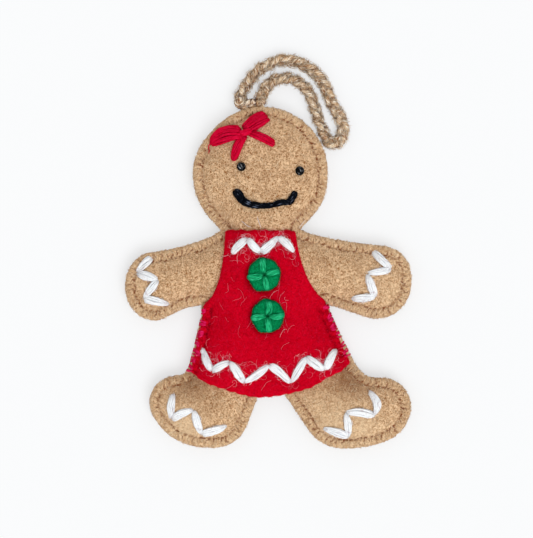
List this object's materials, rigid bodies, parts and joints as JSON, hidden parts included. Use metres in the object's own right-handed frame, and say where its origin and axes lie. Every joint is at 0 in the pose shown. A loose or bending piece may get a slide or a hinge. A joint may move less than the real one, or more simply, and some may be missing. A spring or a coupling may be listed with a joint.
{
  "type": "felt gingerbread woman ornament",
  "caption": "Flat stuffed felt gingerbread figure in a sewn dress, with stitched trim and a yarn hanging loop.",
  "frame": {"origin": "on the table under the middle of the body's outline, the figure lying on its back", "axes": "+Z out of the face, +Y towards the head, +X to the viewer's right"},
  "size_m": [0.0944, 0.1306, 0.0162],
  "materials": {
    "tan_felt": "heathered wool felt, matte and fuzzy",
    "tan_yarn": "matte embroidery yarn",
    "pink_red_thread": "embroidery thread with a slight sheen",
    "red_felt": "dense craft felt, matte",
    "white_yarn": "soft wool yarn, matte",
    "green_felt": "dense craft felt, matte",
    "green_yarn": "embroidery yarn, matte",
    "black_thread": "embroidery thread with a slight sheen",
    "red_yarn": "soft embroidery yarn, matte",
    "oatmeal_yarn": "undyed wool yarn, plaited, matte",
    "stuffing": "polyester fibre fill"
  },
  "bodies": {
    "root": {"front_felt": "tan_felt", "back_felt": "tan_felt", "stuffing": "stuffing", "edging_right": "tan_yarn", "edging_left": "tan_yarn", "edging_lower": "tan_yarn", "dress_seam_left": "pink_red_thread", "dress_seam_right": "pink_red_thread", "dress_panel": "red_felt", "neckline_zigzag": "white_yarn", "hem_zigzag": "white_yarn", "button_upper": "green_felt", "button_upper_stitches": "green_yarn", "button_lower": "green_felt", "button_lower_stitches": "green_yarn", "hand_zigzag_left": "white_yarn", "hand_zigzag_right": "white_yarn", "foot_zigzag_left": "white_yarn", "foot_zigzag_right": "white_yarn", "eye_left": "black_thread", "eye_right": "black_thread", "mouth": "black_thread", "bow_loop_left": "red_yarn", "bow_loop_right": "red_yarn", "bow_tail_left": "red_yarn", "bow_tail_right": "red_yarn", "bow_knot": "red_yarn", "hanging_loop": "oatmeal_yarn", "loop_tail_left": "oatmeal_yarn", "loop_tail_right": "oatmeal_yarn"}
  },
  "joints": []
}
